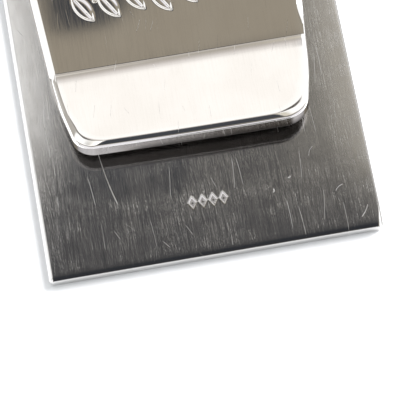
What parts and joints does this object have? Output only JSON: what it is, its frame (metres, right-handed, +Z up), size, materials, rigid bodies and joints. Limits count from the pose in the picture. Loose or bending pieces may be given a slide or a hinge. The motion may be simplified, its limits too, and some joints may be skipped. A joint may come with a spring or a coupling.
{
  "type": "money clip",
  "caption": "Flat steel base plate with a tapered, sprung tongue that presses folded notes against it; the tongue ends in a flared lip.",
  "frame": {"origin": "middle of the base plate's underside, the bottom centre of the closed clip", "axes": "+Z up out of the base plate's upper face, +X across the clip, +Y along it from the open end to the hinge"},
  "size_m": [0.025, 0.05, 0.007],
  "materials": {
    "satin_steel": "satin, brushed along its length, with fine scratches",
    "polished_steel": "mirror polished, lightly worn",
    "turned_steel": "turned and lightly polished",
    "spring_steel": "drawn wire",
    "brass": "turned"
  },
  "bodies": {
    "plate_assembly": {"base_plate": "satin_steel", "left_knuckle": "turned_steel", "right_knuckle": "turned_steel", "hinge_pin": "turned_steel", "left_pin_cap": "polished_steel", "right_pin_cap": "polished_steel", "fixed_bush": "brass", "return_spring": "spring_steel"},
    "tongue_assembly": {"tongue": "polished_steel", "tongue_barrel": "turned_steel", "moving_bush": "brass"}
  },
  "joints": [
    {"name": "tongue_hinge", "type": "hinge", "parent": "plate_assembly", "child": "tongue_assembly", "pos_m": [0, 0.0214, 0.0035], "axis": [-1, 0, 0], "range_deg": [0, 20], "stiffness_Nm_per_rad": 0.03, "springref_deg": -91.67, "deforming": ["return_spring"]}
  ]
}
